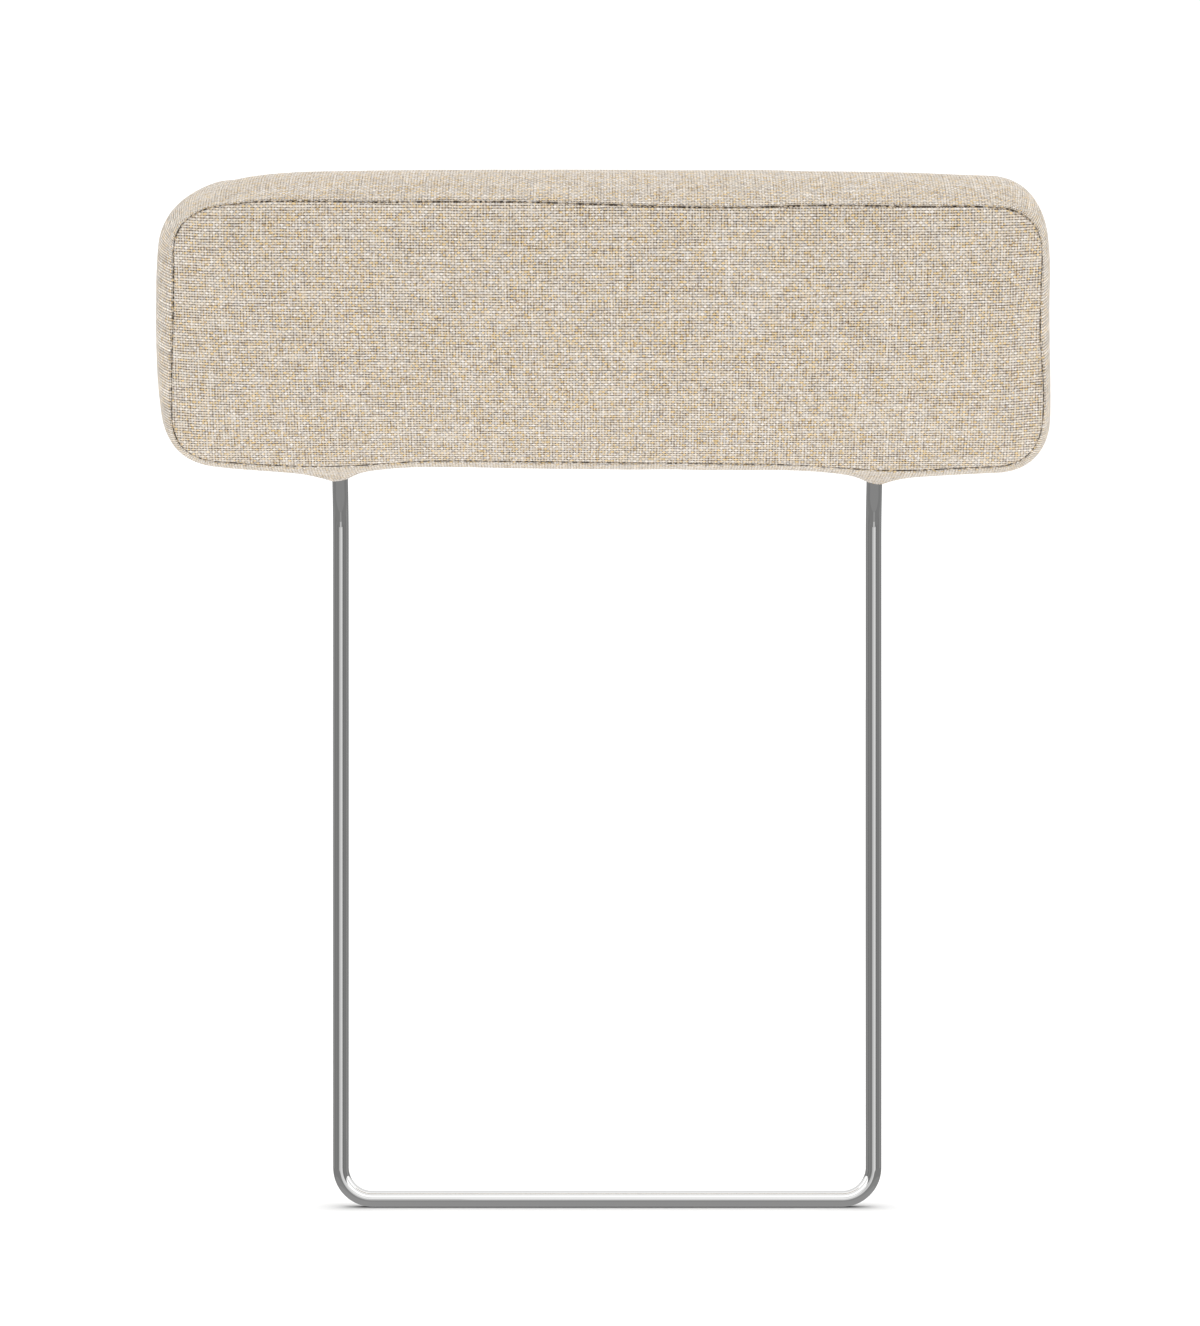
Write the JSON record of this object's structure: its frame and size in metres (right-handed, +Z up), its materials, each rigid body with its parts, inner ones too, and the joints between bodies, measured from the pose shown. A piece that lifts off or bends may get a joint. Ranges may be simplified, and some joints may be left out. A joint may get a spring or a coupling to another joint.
{
  "type": "sofa headrest",
  "caption": "Boxed, upholstered head cushion for a sofa or lounge seat, on a U-shaped frame of bent round steel tube that slides down behind the seat's back.",
  "frame": {"origin": "on the lowest line of the frame's bottom bar, midway between the legs, which is also the point that names what holds the headrest up", "axes": "+X along the headrest's width, -Y out of its front, +Z up the legs"},
  "size_m": [0.672, 0.1557, 0.7806],
  "materials": {
    "bright_steel": "polished, slightly greyed chrome plate on steel tube",
    "black_plastic": "moulded, matt",
    "melange_cloth": "plain weave of cream, grey-white, sand and tan threads, matt",
    "white_wadding": "polyester wadding",
    "cream_foam": "cut polyurethane foam",
    "plywood": "raw birch plywood",
    "zinc_plate": "zinc plated steel"
  },
  "bodies": {
    "root": {"u_frame": "bright_steel", "tube_plug_left": "black_plastic", "tube_plug_right": "black_plastic", "cover_front": "melange_cloth", "cover_rear": "melange_cloth", "cover_boxing": "melange_cloth", "wadding_wrap": "white_wadding", "foam_front": "cream_foam", "foam_rear": "cream_foam", "core_board": "plywood", "saddle_clip_left_upper": "zinc_plate", "saddle_clip_left_lower": "zinc_plate", "saddle_clip_right_upper": "zinc_plate", "saddle_clip_right_lower": "zinc_plate", "clip_screw_left_upper_outer": "zinc_plate", "clip_screw_left_upper_inner": "zinc_plate", "clip_screw_left_lower_outer": "zinc_plate", "clip_screw_left_lower_inner": "zinc_plate", "clip_screw_right_upper_outer": "zinc_plate", "clip_screw_right_upper_inner": "zinc_plate", "clip_screw_right_lower_outer": "zinc_plate", "clip_screw_right_lower_inner": "zinc_plate"}
  },
  "joints": []
}
